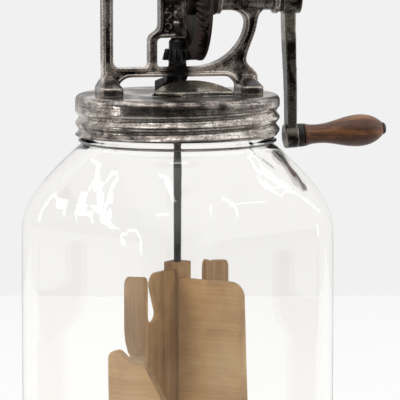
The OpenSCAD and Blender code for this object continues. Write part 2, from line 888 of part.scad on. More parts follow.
module pinion_pin() {
    color("silver")
        translate([0, 0, pinion_pin_z])
            y_pin(pinion_pin_r, pinion_hub_r);
}

module at_post() {
    rotate([0, 0, paddle_turn])
        children();
}

module dasher_rod() {
    color("slategray")
        difference() {
            translate([0, 0, rod_low])
                cylinder(r = rod_r, h = rod_top - rod_low);
            translate([0, 0, pinion_pin_z])
                y_pin(pinion_pin_r + seat_fit, rod_r + cut);
            at_post()
                translate([0, 0, rod_pin_z])
                    x_bar(rod_pin_r + seat_fit, -rod_r - cut, rod_pin_end + seat_fit);
        }
}

module rod_pin() {
    color("silver")
        at_post()
            translate([0, 0, rod_pin_z])
                x_bar(rod_pin_r, -post_side / 2, rod_pin_end);
}

// Sideways place of the plain boards, which lie flush with a face of the post
wide_shift = (post_side - board_t) / 2;

// Height of the low board where it meets the post
low_seat = low_h - low_drop;

// Inner side of the fingers, and the heights of the slot's floor and of the open notch
slot_out = board_reach - finger_w;
slot_low = fork_h - slot_d;
notch_low = slot_low - 3;

// Room for a plain board, cut into the corner of the post
module corner_seat(side, h) {
    rotate([0, 0, 90 * side])
        translate([post_side / 2 - groove_d, -post_side / 2 - cut, -cut])
            cube([post_side, cut + board_t + seat_fit, cut + h + seat_fit]);
}

// Groove for a forked board, in the middle of a face of the post
module groove(side, h) {
    rotate([0, 0, 90 * side])
        translate([post_side / 2 - groove_d, -board_t / 2 - seat_fit, wing_low - seat_fit])
            cube([post_side, board_t + 2 * seat_fit, h - wing_low + 2 * seat_fit]);
}

module dasher_post() {
    color("peru")
        at_post()
            translate([0, 0, dasher_low])
                difference() {
                    translate([-post_side / 2, -post_side / 2, 0])
                        cube([post_side, post_side, dasher_h]);
                    corner_seat(0, wide_h);
                    corner_seat(2, low_seat);
                    groove(1, notch_low);
                    groove(3, fork_h);
                    translate([0, 0, dasher_h - rod_seat - seat_fit])
                        cylinder(r = rod_r + seat_fit, h = rod_seat + cut);
                    translate([0, 0, rod_pin_z - dasher_low])
                        x_bar(rod_pin_r + seat_fit, -post_side, rod_pin_end + seat_fit);
                }
}

// A board on one side of the post, from an outline of reach and height
module board(side, shift) {
    at_post()
        rotate([0, 0, 90 * side])
            translate([0, -shift, dasher_low])
                rotate([90, 0, 0])
                    linear_extrude(board_t, center = true)
                        children();
}

module wide_paddles() {
    top_reach = board_reach - 3;
    round = 9;
    low_round = 5;
    color("burlywood") {
        board(0, wide_shift)
            polygon(concat(
                [[board_in, 0], [board_reach, 0]],
                arc([top_reach - round, wide_h - round], round, 5, 90, 8),
                [[board_in, wide_h]]));
        board(2, wide_shift)
            polygon(concat(
                [[board_in, 0], [board_reach, 0]],
                arc([board_reach - low_round, low_h - low_round], low_round, 0, 110, 6),
                [[post_side / 2, low_seat], [board_in, low_seat]]));
    }
}

// A forked board: its outer edge up to the finger, then the given inner edge back to the post
module wing(side, inner_edge) {
    tip = finger_w / 2;
    board(side, 0)
        polygon(concat(
            bezier([board_in, wing_low], [board_in + 10, wing_low + 30],
                [board_reach, wing_h - 22], [board_reach, wing_h]),
            arc([slot_out + tip, fork_h - tip], tip, 0, 180, 12),
            inner_edge));
}

// One board has a slot and a prong beside the post, the other is open from the finger to the post
module forked_paddles() {
    slot_in = slot_out - slot_w;
    mouth = slot_in + slot_w * 0.5;
    bend = slot_low + slot_w / 2;
    prong_round = 7;
    color("burlywood") {
        wing(3, concat(
            bezier([slot_out, bend], [slot_out, slot_low], [slot_in, slot_low], [slot_in, bend]),
            bezier([mouth, fork_h - prong_round], [mouth, fork_h - 3],
                [mouth - 4, fork_h], [mouth - prong_round, fork_h], 6),
            [[board_in, fork_h]]));
        wing(1, concat(
            bezier([slot_out, bend], [slot_out, slot_low], [slot_in, slot_low],
                [post_side / 2 + 2, notch_low]),
            [[board_in, notch_low]]));
    }
}

glass_jar();
screw_lid();
lid_gasket();
pour_flap();
flap_hinge_lug();
flap_hinge_pin();
gear_frame();
frame_screws();
lid_bush();
thrust_washer();
drive_gear();
gear_pin();
crank_shaft();
crank_washer();
crank_arm();
crank_pin();
handle_stud();
grip_collar();
wooden_grip();
pinion();
pinion_pin();
dasher_rod();
rod_pin();
dasher_post();
wide_paddles();
forked_paddles();
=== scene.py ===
import math

import bpy
from mathutils import Euler, Matrix, Vector
from mathutils.bvhtree import BVHTree
from mathutils.interpolate import poly_3d_calc


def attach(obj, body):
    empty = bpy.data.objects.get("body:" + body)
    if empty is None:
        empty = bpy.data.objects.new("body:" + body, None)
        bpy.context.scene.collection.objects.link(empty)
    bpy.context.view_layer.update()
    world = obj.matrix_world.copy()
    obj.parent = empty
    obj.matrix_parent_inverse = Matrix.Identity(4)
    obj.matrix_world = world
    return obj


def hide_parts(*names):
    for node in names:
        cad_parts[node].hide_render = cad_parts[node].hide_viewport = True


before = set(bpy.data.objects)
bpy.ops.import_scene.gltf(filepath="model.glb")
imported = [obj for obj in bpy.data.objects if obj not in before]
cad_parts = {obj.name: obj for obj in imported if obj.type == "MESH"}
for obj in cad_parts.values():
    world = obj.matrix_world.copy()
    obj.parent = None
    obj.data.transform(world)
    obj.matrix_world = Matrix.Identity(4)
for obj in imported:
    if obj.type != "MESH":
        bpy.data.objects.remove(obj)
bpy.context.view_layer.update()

MM = 0.001

# Sizes of the churn that the pieces below share, in metres
LID_TOP = 231 * MM
LID_R = 59 * MM
LID_H = 23 * MM
LID_EDGE = 3.5 * MM
LIP_HEIGHT = 1.2 * MM
SHEET = 0.9 * MM
BEAD_DEPTH = 2 * MM
BEAD_PITCH = 7.2 * MM
BAND_H = 7.4 * MM
FLAP_X, FLAP_Y = 5.7 * MM, -20 * MM
OPENING_R = 26.2 * MM
OPENING_SINK = 14.44 * MM
OPENING_EDGE = 2.2 * MM
BUSH_BORE_R = 4.5 * MM
STUD = Vector((67.12 * MM, 0, 205.2 * MM))
STUD_TILT = math.radians(3.5)
GRIP_START = 7.4 * MM
GRIP_BORE_R = 2.62 * MM
JAR_TURN = math.radians(33)
JAR_FLOOR = 8 * MM
BASE_RISE = 1.6 * MM


# Modelling helpers

def select_only(piece):
    bpy.ops.object.select_all(action="DESELECT")
    piece.select_set(True)
    bpy.context.view_layer.objects.active = piece


def named(name):
    piece = bpy.context.object
    piece.name = piece.data.name = name
    return piece


def edit(piece, kind="VERT", action="SELECT"):
    select_only(piece)
    bpy.ops.object.mode_set(mode="EDIT")
    bpy.ops.mesh.select_mode(type=kind)
    bpy.ops.mesh.select_all(action=action)


def leave():
    bpy.ops.object.mode_set(mode="OBJECT")


def edit_faces(piece, wanted):
    """Enters edit mode with only the faces selected that the test wants."""
    edit(piece, "FACE", "DESELECT")
    leave()
    for face in piece.data.polygons:
        face.select = wanted(face)
    bpy.ops.object.mode_set(mode="EDIT")


def pull(x=0.0, z=0.0):
    """Extrudes what is selected."""
    bpy.ops.mesh.extrude_region_move(TRANSFORM_OT_translate={"value": (x, 0, z)})


def modify(piece, kind, **settings):
    select_only(piece)
    modifier = piece.modifiers.new(kind.lower(), kind)
    for key, value in settings.items():
        setattr(modifier, key, value)
    bpy.ops.object.modifier_apply(modifier=modifier.name)


def settle(piece, angle=40):
    """Puts a piece's place into its mesh and smooths it up to an angle in degrees."""
    select_only(piece)
    bpy.ops.object.transform_apply(location=True, rotation=True, scale=True)
    bpy.ops.object.shade_smooth_by_angle(angle=math.radians(angle))


def copy_of(node, name):
    """A copy of a solid with its triangles joined along their edges."""
    piece = bpy.data.objects.new(name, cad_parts[node].data.copy())
    bpy.context.scene.collection.objects.link(piece)
    piece.data.name = name
    piece.data.materials.clear()
    edit(piece)
    bpy.ops.mesh.customdata_custom_splitnormals_clear()
    bpy.ops.mesh.remove_doubles(threshold=2e-6)
    leave()
    return piece


def softened(node, name, width, segments=2):
    """A copy of a solid whose edges are eased."""
    piece = copy_of(node, name)
    edit(piece)
    bpy.ops.mesh.dissolve_limited(angle_limit=math.radians(2))
    leave()
    modify(piece, "BEVEL", width=width, segments=segments, limit_method="ANGLE",
           angle_limit=math.radians(35), use_clamp_overlap=True)
    settle(piece)
    return piece


def cast(piece, grain, passes):
    """Melts a piece's solids together and rounds its edges as sand casting does."""
    modify(piece, "REMESH", mode="VOXEL", voxel_size=grain)
    modify(piece, "SMOOTH", factor=0.5, iterations=passes)
    select_only(piece)
    bpy.ops.object.shade_smooth()


def melt_in(piece, *others):
    """Joins other meshes to a piece."""
    bpy.ops.object.select_all(action="DESELECT")
    for other in others:
        other.select_set(True)
    piece.select_set(True)
    bpy.context.view_layer.objects.active = piece
    bpy.ops.object.join()


# Finishes

def new_finish(name):
    finish = bpy.data.materials.new(name)
    finish.use_nodes = True
    tree = finish.node_tree
    shader = tree.nodes["Principled BSDF"]
    place = tree.nodes.new("ShaderNodeTexCoord").outputs["Object"]
    return finish, tree, shader, place


def stretched(tree, place, scale, turn=(0, 0, 0)):
    mapping = tree.nodes.new("ShaderNodeMapping")
    mapping.inputs["Scale"].default_value = scale
    mapping.inputs["Rotation"].default_value = turn
    tree.links.new(place, mapping.inputs["Vector"])
    return mapping.outputs["Vector"]


def noise(tree, place, scale, detail=4.0, rough=0.55, warp=0.0):
    node = tree.nodes.new("ShaderNodeTexNoise")
    node.inputs["Scale"].default_value = scale
    node.inputs["Detail"].default_value = detail
    node.inputs["Roughness"].default_value = rough
    node.inputs["Distortion"].default_value = warp
    tree.links.new(place, node.inputs["Vector"])
    return node.outputs["Fac"]


def ramp(tree, factor, *stops):
    """Colours along a factor: each stop is a place and a colour."""
    node = tree.nodes.new("ShaderNodeValToRGB")
    while len(node.color_ramp.elements) < len(stops):
        node.color_ramp.elements.new(0.5)
    for element, (where, colour) in zip(node.color_ramp.elements, stops):
        element.position = where
        element.color = (*colour, 1)
    tree.links.new(factor, node.inputs["Fac"])
    return node.outputs["Color"]


def spread(tree, factor, low, high, to_low=0.0, to_high=1.0):
    node = tree.nodes.new("ShaderNodeMapRange")
    for socket, value in zip(("From Min", "From Max", "To Min", "To Max"), (low, high, to_low, to_high)):
        node.inputs[socket].default_value = value
    tree.links.new(factor, node.inputs["Value"])
    return node.outputs["Result"]


def math_of(tree, operation, a, b):
    node = tree.nodes.new("ShaderNodeMath")
    node.operation = operation
    for socket, value in zip(node.inputs, (a, b)):
        if isinstance(value, (int, float)):
            socket.default_value = value
        else:
            tree.links.new(value, socket)
    return node.outputs[0]


def blend(tree, *parts):
    """The sum of some factors, each times its share."""
    total = None
    for factor, share in parts:
        part = factor if share == 1.0 else math_of(tree, "MULTIPLY", factor, share)
        total = part if total is None else math_of(tree, "ADD", total, part)
    return total


def axes_of(tree, place):
    split = tree.nodes.new("ShaderNodeSeparateXYZ")
    tree.links.new(place, split.inputs[0])
    return split.outputs


def mixed(tree, factor, a, b):
    """Two colours mixed by a factor."""
    node = tree.nodes.new("ShaderNodeMix")
    node.data_type = "RGBA"
    tree.links.new(factor, node.inputs[0])
    for socket, colour in ((node.inputs[6], a), (node.inputs[7], b)):
        if isinstance(colour, tuple):
            socket.default_value = (*colour, 1)
        else:
            tree.links.new(colour, socket)
    return node.outputs[2]


def bumped(tree, shader, height, strength, distance):
    node = tree.nodes.new("ShaderNodeBump")
    node.inputs["Strength"].default_value = strength
    node.inputs["Distance"].default_value = distance
    tree.links.new(height, node.inputs["Height"])
    tree.links.new(node.outputs["Normal"], shader.inputs["Normal"])


def tin_finish(name, dark, middle, pale, worn=0.0):
    """Tin plate gone dull: clouds of tarnish, scratches round the lid and small pits; the plain band above
    the beads is darker and the beads a little lighter.
    """
    finish, tree, shader, place = new_finish(name)
    clouds = noise(tree, place, 55, 6, 0.65, 0.4)
    scratches = noise(tree, stretched(tree, place, (18, 18, 420)), 3, 6, 0.75)
    specks = noise(tree, place, 900, 3, 0.6)
    tone = blend(tree, (clouds, 0.6), (scratches, 0.4))
    band = LID_TOP - BAND_H
    height = axes_of(tree, place)["Z"]
    # By the share worn, the plain band above the beads is made darker and the beads a little lighter
    tone = math_of(tree, "ADD", tone, spread(tree, height, band - 2 * MM, band + 2 * MM, 0.25 * worn, -worn))
    colour = ramp(tree, tone, (0.41, dark), (0.5, middle), (0.6, pale))
    pits = spread(tree, specks, 0.55, 0.62)
    colour = mixed(tree, math_of(tree, "MULTIPLY", pits, 0.7), colour, (0.02, 0.017, 0.016))
    tree.links.new(colour, shader.inputs["Base Color"])
    tree.links.new(spread(tree, tone, 0.38, 0.62, 0.36, 0.12), shader.inputs["Roughness"])
    shader.inputs["Metallic"].default_value = 0.95
    bumped(tree, shader, blend(tree, (scratches, 1.0), (specks, 0.6)), 0.12, 0.0002)
    return finish


def grease_and_shade_mask(tree, axes, clouds):
    """Where the frame is black: grease round the upright rod, and painted shade on the foot behind it, which
    stands in shadow.
    """
    flat = tree.nodes.new("ShaderNodeCombineXYZ")
    tree.links.new(axes["X"], flat.inputs["X"])
    tree.links.new(axes["Y"], flat.inputs["Y"])
    length = tree.nodes.new("ShaderNodeVectorMath")
    length.operation = "LENGTH"
    tree.links.new(flat.outputs[0], length.inputs[0])
    ragged = math_of(tree, "MULTIPLY", math_of(tree, "SUBTRACT", clouds, 0.5), 12 * MM)
    near = spread(tree, math_of(tree, "ADD", length.outputs["Value"], ragged), 12 * MM, 7 * MM)
    # Painted shade: the foot behind the rod stands in shadow, so it is made black
    behind = spread(tree, axes["Y"], 5.5 * MM, 8 * MM)
    low = spread(tree, axes["Z"], 262 * MM, 256 * MM)
    return math_of(tree, "MULTIPLY", math_of(tree, "MAXIMUM", near, behind), low)


def iron_finish(name, dark, brown, worn, wear, rough, bands=(), greased_and_shaded=False, metal=0.75, shine=0.5):
    """Cast iron with the plating worn off its edges and high faces, and most in the bands.

    A band is a height where it starts, one where it ends, both in millimetres, and a share.
    """
    finish, tree, shader, place = new_finish(name)
    clouds = noise(tree, place, 70, 6, 0.65, 0.3)
    grit = noise(tree, place, 700, 4, 0.65)
    axes = axes_of(tree, place)
    edges = tree.nodes.new("ShaderNodeNewGeometry").outputs["Pointiness"]
    ridge = spread(tree, edges, 0.505, 0.54)
    patches = spread(tree, blend(tree, (clouds, 1.0), (grit, 0.15)), 0.59, 0.66)
    rubbed = blend(tree, (ridge, wear), (patches, wear * 0.45))
    for low, high, share in bands:
        middle, half = (low + high) / 2, (high - low) / 2
        off = math_of(tree, "ABSOLUTE", math_of(tree, "SUBTRACT", axes["Z"], middle * MM), 0)
        inside = spread(tree, off, half * MM, (half + 2.5) * MM, share, 0.0)
        blotch = spread(tree, blend(tree, (clouds, 1.0), (grit, 0.2)), 0.5, 0.64)
        rubbed = math_of(tree, "ADD", rubbed, math_of(tree, "MULTIPLY", inside, blotch))
    base = ramp(tree, clouds, (0.35, dark), (0.62, brown))
    colour = mixed(tree, spread(tree, rubbed, 0.0, 1.0), base, worn)
    roughness = spread(tree, grit, 0.3, 0.7, rough - 0.08, rough + 0.12)
    # Made black: grease round the rod, and painted shade on the foot behind it
    if greased_and_shaded:
        grease = grease_and_shade_mask(tree, axes, clouds)
        colour = mixed(tree, math_of(tree, "MULTIPLY", grease, 0.95), colour, (0.004, 0.0035, 0.0035))
        roughness = blend(tree, (roughness, 1.0), (grease, 0.4))
    tree.links.new(colour, shader.inputs["Base Color"])
    tree.links.new(roughness, shader.inputs["Roughness"])
    shader.inputs["Metallic"].default_value = metal
    shader.inputs["Specular IOR Level"].default_value = shine
    bumped(tree, shader, grit, 0.09, 0.0003)
    return finish


def grease_finish(name):
    """Black iron under old grease."""
    finish, tree, shader, place = new_finish(name)
    smear = noise(tree, place, 160, 5, 0.6, 0.5)
    tree.links.new(ramp(tree, smear, (0.35, (0.004, 0.004, 0.004)), (0.7, (0.022, 0.019, 0.018))),
                   shader.inputs["Base Color"])
    tree.links.new(spread(tree, smear, 0.3, 0.7, 0.55, 0.3), shader.inputs["Roughness"])
    shader.inputs["Metallic"].default_value = 0.2
    bumped(tree, shader, smear, 0.35, 0.0006)
    return finish


def steel_finish(name, dark, pale):
    """Drawn steel gone dark."""
    finish, tree, shader, place = new_finish(name)
    clouds = noise(tree, place, 120, 5, 0.6)
    drawn = noise(tree, stretched(tree, place, (900, 900, 30)), 2, 3)
    tree.links.new(ramp(tree, clouds, (0.35, dark), (0.65, pale)), shader.inputs["Base Color"])
    tree.links.new(spread(tree, clouds, 0.3, 0.7, 0.5, 0.32), shader.inputs["Roughness"])
    shader.inputs["Metallic"].default_value = 0.85
    bumped(tree, shader, drawn, 0.15, 0.0001)
    return finish


def wood_finish(name, along, stops, ring, rough, coat, turn=0.0, blotch=0.25):
    """Wood with long grain and blotches. The grain runs along one axis, turned about the upright."""
    finish, tree, shader, place = new_finish(name)
    place = stretched(tree, place, (1, 1, 1), (0, 0, turn))
    long_grain = tuple(ring * (0.05 if axis == along else 1.0) for axis in range(3))
    fibre_scale = tuple(22 if axis == along else 900 for axis in range(3))
    grain = noise(tree, stretched(tree, place, long_grain), 1.0, 5, 0.6, 0.8)
    fibre = noise(tree, stretched(tree, place, fibre_scale), 1.0, 3, 0.6)
    stain = noise(tree, place, 32, 4, 0.55, 0.6)
    tone = blend(tree, (fibre, 0.2), (stain, blotch), (grain, 0.8 - blotch))
    tree.links.new(ramp(tree, tone, *stops), shader.inputs["Base Color"])
    tree.links.new(spread(tree, tone, 0.35, 0.65, rough + 0.08, rough - 0.08), shader.inputs["Roughness"])
    shader.inputs["Coat Weight"].default_value = coat
    shader.inputs["Coat Roughness"].default_value = 0.25
    bumped(tree, shader, fibre, 0.25, 0.0003)
    return finish


def rubber_finish(name):
    """Old rubber with a dusty bloom."""
    finish, tree, shader, place = new_finish(name)
    bloom = noise(tree, place, 200, 4)
    tree.links.new(ramp(tree, bloom, (0.35, (0.05, 0.045, 0.04)), (0.7, (0.09, 0.08, 0.07))),
                   shader.inputs["Base Color"])
    shader.inputs["Roughness"].default_value = 0.8
    bumped(tree, shader, bloom, 0.2, 0.0002)
    return finish


def glass_finish(name):
    """Pressed clear glass with a slow waviness. Lamps shine through it on to what is inside."""
    finish, tree, shader, place = new_finish(name)
    shader.inputs["Base Color"].default_value = (0.995, 0.995, 0.99, 1)
    shader.inputs["Roughness"].default_value = 0.0
    shader.inputs["IOR"].default_value = 1.5
    shader.inputs["Transmission Weight"].default_value = 1.0
    waves = noise(tree, stretched(tree, place, (70, 70, 18)), 1.0, 2, 0.4)
    bumped(tree, shader, waves, 0.03, 0.0012)
    out = tree.nodes["Material Output"]
    clear = tree.nodes.new("ShaderNodeBsdfTransparent")
    clear.inputs["Color"].default_value = (0.95, 0.97, 0.96, 1)
    path = tree.nodes.new("ShaderNodeLightPath")
    choose = tree.nodes.new("ShaderNodeMixShader")
    tree.links.new(path.outputs["Is Shadow Ray"], choose.inputs[0])
    tree.links.new(shader.outputs[0], choose.inputs[1])
    tree.links.new(clear.outputs[0], choose.inputs[2])
    tree.links.new(choose.outputs[0], out.inputs["Surface"])
    depth = tree.nodes.new("ShaderNodeVolumeAbsorption")
    depth.inputs["Color"].default_value = (0.55, 0.55, 0.48, 1)
    depth.inputs["Density"].default_value = 2.5
    tree.links.new(depth.outputs[0], out.inputs["Volume"])
    return finish


X_AXIS, Z_AXIS = 0, 2
TIN = tin_finish("tarnished_tin", (0.065, 0.052, 0.048), (0.35, 0.305, 0.275), (0.85, 0.785, 0.72), worn=0.04)
FLAP_TIN = tin_finish("flap_tin", (0.19, 0.175, 0.14), (0.40, 0.375, 0.31), (0.62, 0.58, 0.48))
# The frame's iron is black with grease round the rod, and with painted shade on the foot behind it
IRON = iron_finish(
    "worn_iron", (0.009, 0.006, 0.0065), (0.056, 0.038, 0.038), (0.78, 0.69, 0.61), wear=0.74, rough=0.25,
    bands=((241.5, 247.5, 0.8), (231, 234, 0.12)), greased_and_shaded=True)
CRANK_IRON = iron_finish(
    "crank_iron", (0.006, 0.005, 0.005), (0.028, 0.022, 0.02), (0.62, 0.56, 0.45), wear=0.38, rough=0.27,
    bands=((262, 276, 0.35),))
WHEEL_IRON = iron_finish(
    "wheel_iron", (0.0015, 0.001, 0.001), (0.005, 0.0035, 0.0035), (0.09, 0.065, 0.06), wear=0.34, rough=0.5,
    metal=0.0, shine=0.04)
GREASE = grease_finish("black_grease")
STEEL = steel_finish("dark_steel", (0.03, 0.028, 0.027), (0.16, 0.15, 0.14))
ROD_STEEL = steel_finish("black_rod_steel", (0.010, 0.009, 0.009), (0.05, 0.047, 0.045))
RUBBER = rubber_finish("old_rubber")
GRIP_WOOD = wood_finish(
    "stained_grip_wood", X_AXIS,
    ((0.36, (0.014, 0.006, 0.003)), (0.5, (0.085, 0.028, 0.010)), (0.66, (0.34, 0.145, 0.036))),
    ring=110, rough=0.42, coat=0.12)
BOARD_WOOD = wood_finish(
    "bare_board_wood", X_AXIS,
    ((0.34, (0.29, 0.13, 0.035)), (0.5, (0.51, 0.29, 0.115)), (0.66, (0.66, 0.43, 0.21))),
    ring=45, rough=0.62, coat=0.0, turn=math.radians(45), blotch=0.5)
POST_WOOD = wood_finish(
    "bare_post_wood", Z_AXIS,
    ((0.34, (0.12, 0.05, 0.012)), (0.5, (0.34, 0.18, 0.06)), (0.66, (0.54, 0.34, 0.15))),
    ring=90, rough=0.62, coat=0.0, blotch=0.4)
GLASS = glass_finish("clear_glass")


def dress(piece, finish, slot, body, *nodes):
    """Gives a piece its finish, its body and the solids that it stands for."""
    piece.data.materials.clear()
    piece.data.materials.append(finish)
    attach(piece, body)
    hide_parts(*nodes)


# Pieces

def make_jar():
    """The jar, with the smooth skin of pressed glass, a raised base and a rounded floor."""
    jar = copy_of("glass_jar", "jar_glass")
    corner_rings = (4 * MM, 6 * MM)
    middle_rings = (0.75, 0.55)
    for height, side in ((0.0, -1), (JAR_FLOOR, 1)):
        edit_faces(jar, lambda f: abs(f.center.z - height) < 0.05 * MM and f.normal.z * side > 0.99)
        bpy.ops.mesh.dissolve_faces()
        for width in corner_rings:
            bpy.ops.mesh.inset(thickness=width)
        if side < 0:
            bpy.ops.transform.translate(value=(0, 0, BASE_RISE))
        for share in middle_rings:
            pull()
            bpy.ops.transform.resize(value=(share, share, 1))
        bpy.ops.mesh.poke()
        leave()
    edit(jar, "FACE")
    bpy.ops.mesh.tris_convert_to_quads(face_threshold=math.radians(60), shape_threshold=math.radians(60))
    bpy.ops.mesh.select_all(action="DESELECT")
    leave()
    corners = jar.data.vertices
    # The level edges across the four flat sides are cut finely, so that the skin stays flat there
    for edge in jar.data.edges:
        a, b = (corners[i].co for i in edge.vertices)
        middle = (a + b) / 2
        off_side = math.sin(2 * (math.atan2(middle.y, middle.x) - JAR_TURN))
        level = abs(a.z - b.z) < 0.01 * MM
        edge.select = level and abs(off_side) < 0.01 and math.hypot(middle.x, middle.y) > 1 * MM
    bpy.ops.object.mode_set(mode="EDIT")
    bpy.ops.mesh.select_mode(type="EDGE")
    bpy.ops.mesh.subdivide(number_cuts=11)
    leave()
    modify(jar, "SUBSURF", levels=2, render_levels=2)
    select_only(jar)
    bpy.ops.object.shade_smooth()
    dress(jar, GLASS, "glass", "jar", "glass_jar")
    return jar


def bead_radius(depth, angle):
    """The skirt's radius at a depth below the lid's top: the rolled thread rises to the right."""
    wound = depth + BEAD_PITCH * (angle / (2 * math.pi) - 0.75)
    if wound < BAND_H:
        return LID_R
    wave = (1 - math.cos(2 * math.pi * (wound - BAND_H) / BEAD_PITCH)) / 2
    return LID_R - BEAD_DEPTH * wave


def make_lid():
    """The screw lid: a ring pulled up into the skirt, drawn in over the edge and closed on top."""
    sides, rows, edge_steps = 192, 60, 7
    lip_slope = 0.3
    top_rings = (50 * MM, 36 * MM, 20 * MM, 8 * MM)
    skirt = LID_H - LID_EDGE
    bpy.ops.object.select_all(action="DESELECT")
    bpy.ops.mesh.primitive_circle_add(vertices=sides, radius=LID_R, location=(0, 0, LID_TOP - LID_H))
    lid = named("tin_lid")
    edit(lid)
    for _ in range(rows):
        pull(z=skirt / rows)
    radius = LID_R
    for step in range(1, edge_steps + 1):
        turn = math.pi / 2 * step / edge_steps
        before = math.pi / 2 * (step - 1) / edge_steps
        pull(z=LID_EDGE * (math.sin(turn) - math.sin(before)))
        smaller = LID_R - LID_EDGE * (1 - math.cos(turn))
        bpy.ops.transform.resize(value=(smaller / radius, smaller / radius, 1))
        radius = smaller
    for smaller in top_rings:
        pull()
        bpy.ops.transform.resize(value=(smaller / radius, smaller / radius, 1))
        radius = smaller
    bpy.ops.mesh.edge_face_add()
    leave()
    settle(lid)
    for vertex in lid.data.vertices:
        depth = LID_TOP - vertex.co.z
        if depth > LID_EDGE:
            angle = math.atan2(vertex.co.y, vertex.co.x) % (2 * math.pi)
            wanted = bead_radius(depth, angle) + lip_slope * max(0, depth - LID_H + LIP_HEIGHT)
            flat = math.hypot(vertex.co.x, vertex.co.y)
            vertex.co.x *= wanted / flat
            vertex.co.y *= wanted / flat
    edit(lid)
    bpy.ops.mesh.normals_make_consistent(inside=False)
    leave()
    modify(lid, "SOLIDIFY", thickness=SHEET, offset=-1)
    cut_opening(lid)
    settle(lid, 50)
    dress(lid, TIN, "tin", "lid", "screw_lid")


def cut_opening(lid):
    """Cuts the half-moon under the flap and the hole of the rod's bush."""
    cutter_h = 8 * MM
    bpy.ops.object.select_all(action="DESELECT")
    bpy.ops.mesh.primitive_cylinder_add(
        vertices=128, radius=OPENING_R, depth=cutter_h, location=(FLAP_X, FLAP_Y - OPENING_SINK, LID_TOP))
    moon = named("moon_cutter")
    edit(moon)
    bpy.ops.mesh.bisect(
        plane_co=(0, FLAP_Y + OPENING_EDGE, 0), plane_no=(0, -1, 0), use_fill=True, clear_outer=True)
    leave()
    bpy.ops.mesh.primitive_cylinder_add(
        vertices=48, radius=BUSH_BORE_R, depth=cutter_h, location=(0, 0, LID_TOP))
    bore = named("bore_cutter")
    for cutter in (moon, bore):
        modify(lid, "BOOLEAN", object=cutter, operation="DIFFERENCE", solver="EXACT")
        bpy.data.objects.remove(cutter)


def scroll(middle, size, start, turns, thick):
    """A cast scroll: a wire wound in a spiral, lying in the sunk panel of the centre plate."""
    bpy.ops.object.select_all(action="DESELECT")
    bpy.ops.curve.primitive_nurbs_path_add()
    wire = bpy.context.object
    steps = 22
    curl, taper = 0.8, 0.35
    wire.data.splines.clear()
    spline = wire.data.splines.new("POLY")
    spline.points.add(steps)
    for step, point in enumerate(spline.points):
        share = step / steps
        angle = start + turns * 2 * math.pi * share
        reach = size * (1 - curl * share)
        point.co = (middle[0] + reach * math.cos(angle), middle[1], middle[2] + reach * math.sin(angle), 1)
        point.radius = 1 - taper * share
    wire.data.bevel_depth = thick
    wire.data.bevel_resolution = 2
    wire.data.use_fill_caps = True
    bpy.ops.object.convert(target="MESH")
    return named("scroll_wire")


def plate_scrolls():
    """Leaf scrolls up both faces of the centre plate, in mirrored pairs on a stem."""
    stem_x, panel_y = -3.2 * MM, 3.2 * MM
    rows, first_row, row_pitch = 10, 38.8 * MM, 6.3 * MM
    off_stem, size, wire = 2.7 * MM, 2.8 * MM, 0.8 * MM
    wires = []
    for face in (-1, 1):
        for row in range(rows):
            for side in (-1, 1):
                middle = (stem_x + side * off_stem, face * panel_y, LID_TOP + first_row + row_pitch * row)
                wires.append(scroll(middle, size, start=-math.pi / 2, turns=side * 1.4, thick=wire))
    return wires


def make_frame():
    """The gear frame and its scrolls, cast in one."""
    frame_cast = copy_of("gear_frame", "frame_casting")
    melt_in(frame_cast, *plate_scrolls())
    cast(frame_cast, grain=0.55 * MM, passes=3)
    dress(frame_cast, IRON, "iron", "lid", "gear_frame")


def make_crank():
    arm = copy_of("crank_arm", "crank_casting")
    cast(arm, grain=0.5 * MM, passes=4)
    dress(arm, CRANK_IRON, "iron", "crank", "crank_arm")


def make_gears():
    wheel = softened("drive_gear", "bevel_wheel", 0.25 * MM)
    dress(wheel, WHEEL_IRON, "iron", "crank", "drive_gear")
    small = softened("pinion", "greasy_pinion", 0.2 * MM)
    dress(small, GREASE, "black_iron", "dasher", "pinion")


def make_grip():
    """The grip, turned: a ring drawn along the stud and opened or closed at each station."""
    bore = GRIP_BORE_R / MM
    # Distance along the grip and radius, in millimetres
    stations = (
        (0.0, 6.4), (0.6, 6.7), (1.6, 6.6), (3.0, 6.0), (5.5, 5.6), (9.6, 5.5), (14, 5.85), (19, 6.9),
        (24, 8.15), (28, 8.9), (32, 9.35), (35.5, 9.35), (39, 8.85), (42, 7.9), (44.6, 6.5), (46.6, 5.0),
        (47.8, 3.9), (48.2, 3.0), (48.2, bore))
    bpy.ops.object.select_all(action="DESELECT")
    bpy.ops.mesh.primitive_circle_add(vertices=64, radius=GRIP_BORE_R, rotation=(0, math.pi / 2, 0))
    grip = named("turned_grip")
    bpy.ops.object.transform_apply(rotation=True)
    edit(grip)
    at, radius = 0.0, bore
    for x, r in stations:
        pull(x=(x - at) * MM)
        bpy.ops.transform.resize(value=(1, r / radius, r / radius))
        at, radius = x, r
    pull(x=-at * MM)
    bpy.ops.mesh.select_all(action="SELECT")
    bpy.ops.mesh.remove_doubles(threshold=1e-6)
    bpy.ops.mesh.normals_make_consistent(inside=False)
    leave()
    modify(grip, "SUBSURF", levels=2, render_levels=2)
    grip.rotation_euler = (0, -STUD_TILT, 0)
    along = Vector((math.cos(STUD_TILT), 0, math.sin(STUD_TILT)))
    grip.location = STUD + along * GRIP_START
    settle(grip, 50)
    dress(grip, GRIP_WOOD, "grip_wood", "grip", "wooden_grip")


def make_dasher():
    for node, name, finish in (("wide_paddles", "plain_boards", BOARD_WOOD),
                               ("forked_paddles", "forked_boards", POST_WOOD),
                               ("dasher_post", "square_post", POST_WOOD)):
        board = softened(node, name, 0.7 * MM, 3)
        dress(board, finish, "paddle_wood", "dasher", node)


def make_flap():
    flap = softened("pour_flap", "half_moon_flap", 0.15 * MM)
    dress(flap, FLAP_TIN, "tin", "flap", "pour_flap")


